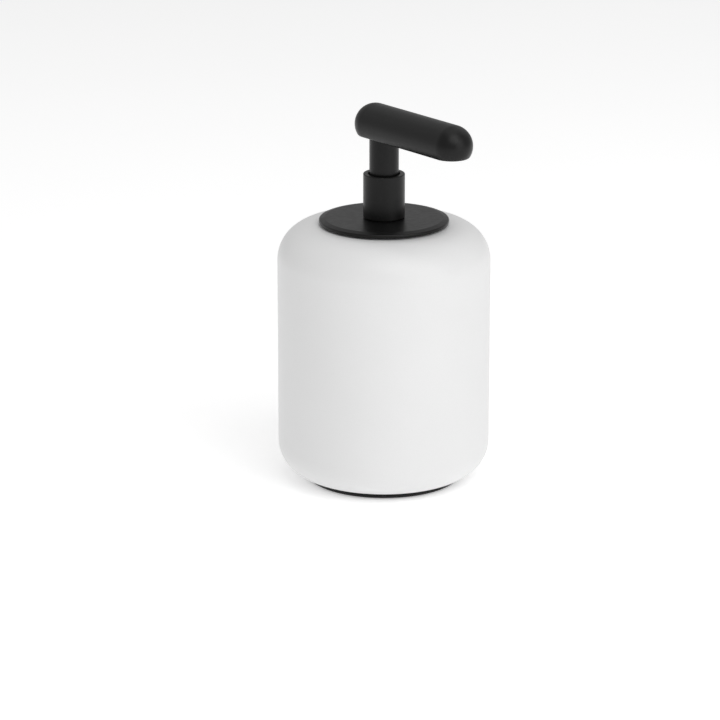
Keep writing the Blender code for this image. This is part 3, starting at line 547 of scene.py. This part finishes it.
def make_lock_ring():
    """The ring has two notches across its underside, for the wrench."""
    low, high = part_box("lock_ring")
    half = NOTCH_WIDTH / 2
    notches = box_cutter((-half, 2 * low.y, low.z - MM), (half, 2 * high.y, (low.z + high.z) / 2))
    stand_for(smooth(cut_with(turned_again("lock_ring", SMALL_SIDES), notches)), "lock_ring")


def make_rod_clip():
    """The clip is open on its back side, so it can be pushed onto the rod."""
    low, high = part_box("rod_clip")
    half = CLIP_OPENING / 2
    opening = box_cutter((-half, high.x / 2, low.z - MM), (half, 2 * high.x, high.z + MM))
    stand_for(smooth(cut_with(turned_again("rod_clip", SMALL_SIDES), opening)), "rod_clip")


def make_dip_tube():
    """The tube goes down as far as its box does, and its end is cut on a slant."""
    low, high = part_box("dip_tube")
    outer = high.x
    inner = min(p[0] for p in outline("dip_tube")[0])
    ring = [Vector(p) for p in ((outer, high.z), (outer, low.z), (inner, low.z), (inner, high.z))]
    tube = screwed("dip_tube_fine", refined(ring, True), True, SMALL_SIDES)
    half = 3 * outer
    middle = low.z + outer * tan(TUBE_SLANT) - half / cos(TUBE_SLANT)
    slant = box_cutter((-half, -half, middle - half), (half, half, middle + half), TUBE_SLANT)
    stand_for(smooth(cut_with(tube, slant)), "dip_tube")


def make_return_spring():
    """The wire: one closed turn at each end and open turns between."""
    low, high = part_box("return_spring")
    coil = high.x - SPRING_WIRE
    length = high.z - low.z
    closed_rise = 2 * SPRING_WIRE
    open_turns = SPRING_TURNS - 2
    open_rise = (length - 2 * SPRING_WIRE - 2 * closed_rise) / open_turns
    vertices = []
    for index in range(SPRING_TURNS * COIL_STEPS + 1):
        turn = index / COIL_STEPS
        height = low.z + SPRING_WIRE + closed_rise * min(turn, 1)
        height += open_rise * min(max(turn - 1, 0), open_turns) + closed_rise * max(turn - 1 - open_turns, 0)
        out = Vector((cos(2 * pi * turn), sin(2 * pi * turn), 0))
        for step in range(WIRE_SIDES):
            side = 2 * pi * step / WIRE_SIDES
            rise = Vector((0, 0, height + SPRING_WIRE * sin(side)))
            vertices.append(out * (coil + SPRING_WIRE * cos(side)) + rise)
    last = len(vertices) - WIRE_SIDES
    faces = [tuple(range(WIRE_SIDES)), tuple(range(last + WIRE_SIDES - 1, last - 1, -1))]
    for first in range(0, last, WIRE_SIDES):
        after = first + WIRE_SIDES
        for step in range(WIRE_SIDES):
            beside = (step + 1) % WIRE_SIDES
            faces.append((first + step, after + step, after + beside, first + beside))
    spring = stand_for(smooth(new_object("return_spring_fine", vertices, (), faces)), "return_spring")
    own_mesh(spring)


# ---------------------------------------------------------------- head
def bar_profile(radius, axis_z, flat_z):
    """Half of the bar's cross-section, from its top round to the flat underside and in to the middle."""
    flat_angle = -asin((axis_z - flat_z) / radius)
    last = flat_angle + SPOUT_EDGE / radius
    points = []
    for step in range(PROFILE_STEPS + 1):
        angle = pi / 2 + (last - pi / 2) * step / PROFILE_STEPS
        points.append(Vector((radius * cos(angle), axis_z + radius * sin(angle))))
    start = points[-1]
    slope = Vector((sin(last), -cos(last)))
    corner = start + slope * ((flat_z - start.y) / slope.y)
    inward = corner - Vector((1.0, 0.0))
    points += softened(corner, start, inward, (start - corner).length)[1:]
    points.append(Vector((0.0, flat_z)))
    return held(points, closed=False)


def swept_bar(name, profile, front, back):
    """The half outline, swept round the front end and the back end, with straight sides between."""
    half = WIDE_SIDES // 2
    stations = [(-pi * step / half, front) for step in range(half + 1)]
    stations += [(-pi, front + BAR_HOLD), (-pi, back - BAR_HOLD)]
    stations += [(-pi - pi * step / half, back) for step in range(half + 1)]
    stations += [(0.0, back - BAR_HOLD), (0.0, front + BAR_HOLD)]
    vertices = [(r * cos(turn), y + r * sin(turn), z) for turn, y in stations for r, z in profile]
    rows = len(profile)
    count = len(stations)
    faces = []
    for station in range(count):
        here = station * rows
        there = (station + 1) % count * rows
        faces += [(here + row, here + row + 1, there + row + 1, there + row) for row in range(rows - 1)]
    obj = new_object(name, vertices, (), faces)
    shape = bmesh.new()
    shape.from_mesh(obj.data)
    bmesh.ops.remove_doubles(shape, verts=shape.verts, dist=MERGE_GAP)
    bmesh.ops.dissolve_degenerate(shape, edges=shape.edges, dist=TINY_EDGE)
    bmesh.ops.recalc_face_normals(shape, faces=shape.faces)
    shape.to_mesh(obj.data)
    shape.free()
    return obj


def make_spout_bar():
    """A round bar with ball ends, cut flat below and bored for the stem, channel, screw and nozzle."""
    low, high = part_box("spout_bar")
    radius = high.x
    axis_z = high.z - radius
    screw = centre_of("rear_screw")
    screw_hole = size_of("rear_screw").x / 2 + SEAT_GAP
    front = low.y + radius
    back = high.y - sqrt(radius**2 - screw_hole**2)
    bar = swept_bar("spout_bar_fine", bar_profile(radius, axis_z, low.z), front, back)

    below = low.z - radius
    behind = back + 2 * radius
    stem_points = outline("stem_sleeve")[0]
    stem_top = max(p[1] for p in stem_points)
    socket = max(p[0] for p in stem_points if p[1] > stem_top - MM) + SEAT_GAP
    nozzle = centre_of("nozzle")
    nozzle_hole = size_of("nozzle").x / 2 + SEAT_GAP
    channel = size_of("channel_liner").x / 2 + SEAT_GAP
    screw_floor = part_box("rear_screw")[0].y - SEAT_GAP
    cut_with(bar, rod_cutter(socket, (0, 0, below), (0, 0, stem_top + SOCKET_ROOM)))
    cut_with(bar, rod_cutter(nozzle_hole, (0, nozzle.y, below), (0, nozzle.y, screw.z)))
    cut_with(bar, rod_cutter(channel, (0, nozzle.y, screw.z), (0, behind, screw.z)))
    cut_with(bar, rod_cutter(screw_hole, (0, screw_floor, screw.z), (0, behind, screw.z)))
    stand_for(smooth(bar), "spout_bar")


def laid_along_y(obj, centre):
    """The piece's +Z end turned to +Y, and its middle moved to the centre."""
    obj.data.transform(Matrix.Translation(centre) @ Matrix.Rotation(-pi / 2, 4, "X"))
    return obj


def make_channel_liner():
    size = size_of("channel_liner")
    outer = size.x / 2
    inner = outer - CHANNEL_WALL
    half = size.y / 2
    ring = [Vector(p) for p in ((outer, half), (outer, -half), (inner, -half), (inner, half))]
    liner = screwed("channel_liner_fine", refined(ring, True), True, SMALL_SIDES)
    stand_for(smooth(laid_along_y(liner, centre_of("channel_liner"))), "channel_liner")


def make_rear_screw():
    size = size_of("rear_screw")
    radius = size.x / 2
    half = size.y / 2
    centre = centre_of("rear_screw")
    side = [Vector(p) for p in ((0, half), (radius, half), (radius, -half), (0, -half))]
    screw = laid_along_y(screwed("rear_screw_fine", refined(side, False), False, SMALL_SIDES), centre)
    mouth = centre + Vector((0, 2 * half, 0))
    stand_for(smooth(cut_with(screw, rod_cutter(HEX_KEY, centre, mouth, HEX_SIDES))), "rear_screw")


def make_nozzle():
    stand_for(smooth(turned_again("nozzle", SMALL_SIDES, axis=centre_of("nozzle"))), "nozzle")


# ---------------------------------------------------------------- floor, light and camera
VIEW_AZIMUTH = radians(-38.224)
VIEW_ELEVATION = radians(17.186)
VIEW_DISTANCE = 1.5
VIEW_CENTRE = Vector((-11.0 * MM, 1.8 * MM, 51.2 * MM))
VIEW_LENS = 182.85
VIEW_REACH = 20.0
FLOOR_SIZE = 8.0
FLOOR_CLOUDS = 0.4
FLOOR_GLOW = 0.305
WORLD_STRENGTH = 0.47
LIGHT_CENTRE = Vector((0, 0, 80 * MM))
LIGHT_DISTANCE = 1.3
LIGHT_SIZE = 0.95
# Soft lights: the name, the angle to the right of the camera, the elevation and the watts.
SOFTBOXES = (
    ("front_high", radians(15), radians(50), 4.1),
    ("right_low", radians(45), radians(18), 2.9),
    ("right_high", radians(45), radians(50), 1.3),
    ("overhead", radians(0), radians(89), 1.8),
    ("right_back", radians(135), radians(50), 1.1),
    ("left_low", radians(-105), radians(18), 0.6),
    ("left_back", radians(-135), radians(50), 0.5),
)


def backwards(azimuth, elevation):
    """From the object towards a place at this azimuth; azimuth 0 is on the -Y side."""
    return Vector((sin(azimuth) * cos(elevation), -cos(azimuth) * cos(elevation), sin(elevation)))


def make_floor():
    half = FLOOR_SIZE / 2
    corners = [(-half, -half, 0), (half, -half, 0), (half, half, 0), (-half, half, 0)]
    floor = new_object("floor", corners, (), [(0, 1, 2, 3)])
    s = Surface("floor", 0.9)
    s.feed("Base Color", s.ramp(s.noise(FLOOR_CLOUDS, 2), grey(0.90), grey(0.92)))
    s.shader.inputs["Specular IOR Level"].default_value = 0.0
    s.shader.inputs["Emission Color"].default_value = (1, 1, 1, 1)
    s.shader.inputs["Emission Strength"].default_value = FLOOR_GLOW
    floor.data.materials.append(s.material)


def make_softbox(name, side, elevation, energy):
    """A square soft light, at an angle to the right of the camera as seen from the object."""
    light = bpy.data.lights.new(name, "AREA")
    light.size = LIGHT_SIZE
    light.energy = energy
    obj = bpy.data.objects.new(name, light)
    bpy.context.scene.collection.objects.link(obj)
    away = backwards(VIEW_AZIMUTH + side, elevation)
    obj.location = LIGHT_CENTRE + away * LIGHT_DISTANCE
    obj.rotation_euler = away.to_track_quat("Z", "Y").to_euler()
    obj.visible_camera = False


def make_world():
    world = bpy.data.worlds.new("studio")
    world.use_nodes = True
    background = world.node_tree.nodes["Background"]
    background.inputs["Color"].default_value = (1, 1, 1, 1)
    background.inputs["Strength"].default_value = WORLD_STRENGTH
    bpy.context.scene.world = world


def make_camera():
    data = bpy.data.cameras.new("camera")
    data.lens = VIEW_LENS
    data.clip_end = VIEW_REACH
    camera = bpy.data.objects.new("camera", data)
    bpy.context.scene.collection.objects.link(camera)
    away = backwards(VIEW_AZIMUTH, VIEW_ELEVATION)
    camera.location = VIEW_CENTRE + away * VIEW_DISTANCE
    camera.rotation_euler = away.to_track_quat("Z", "Y").to_euler()
    bpy.context.scene.camera = camera


make_plain_turned_pieces()
make_pump_cylinder()
outlet_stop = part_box("outlet_ball")[1].z + travel_of("outlet_valve") + SEAT_GAP
make_bypassed_piece("plunger_rod", "outlet_ball", outlet_stop, OUTLET_BYPASS_REACH)
make_bypassed_piece("spring_seat", "inlet_ball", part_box("spring_seat")[0].z, INLET_BYPASS_REACH)
make_lock_ring()
make_rod_clip()
make_dip_tube()
make_return_spring()
make_spout_bar()
make_channel_liner()
make_rear_screw()
make_nozzle()

make_floor()
make_world()
for softbox in SOFTBOXES:
    make_softbox(*softbox)
make_camera()
bpy.context.scene.view_settings.view_transform = "Standard"
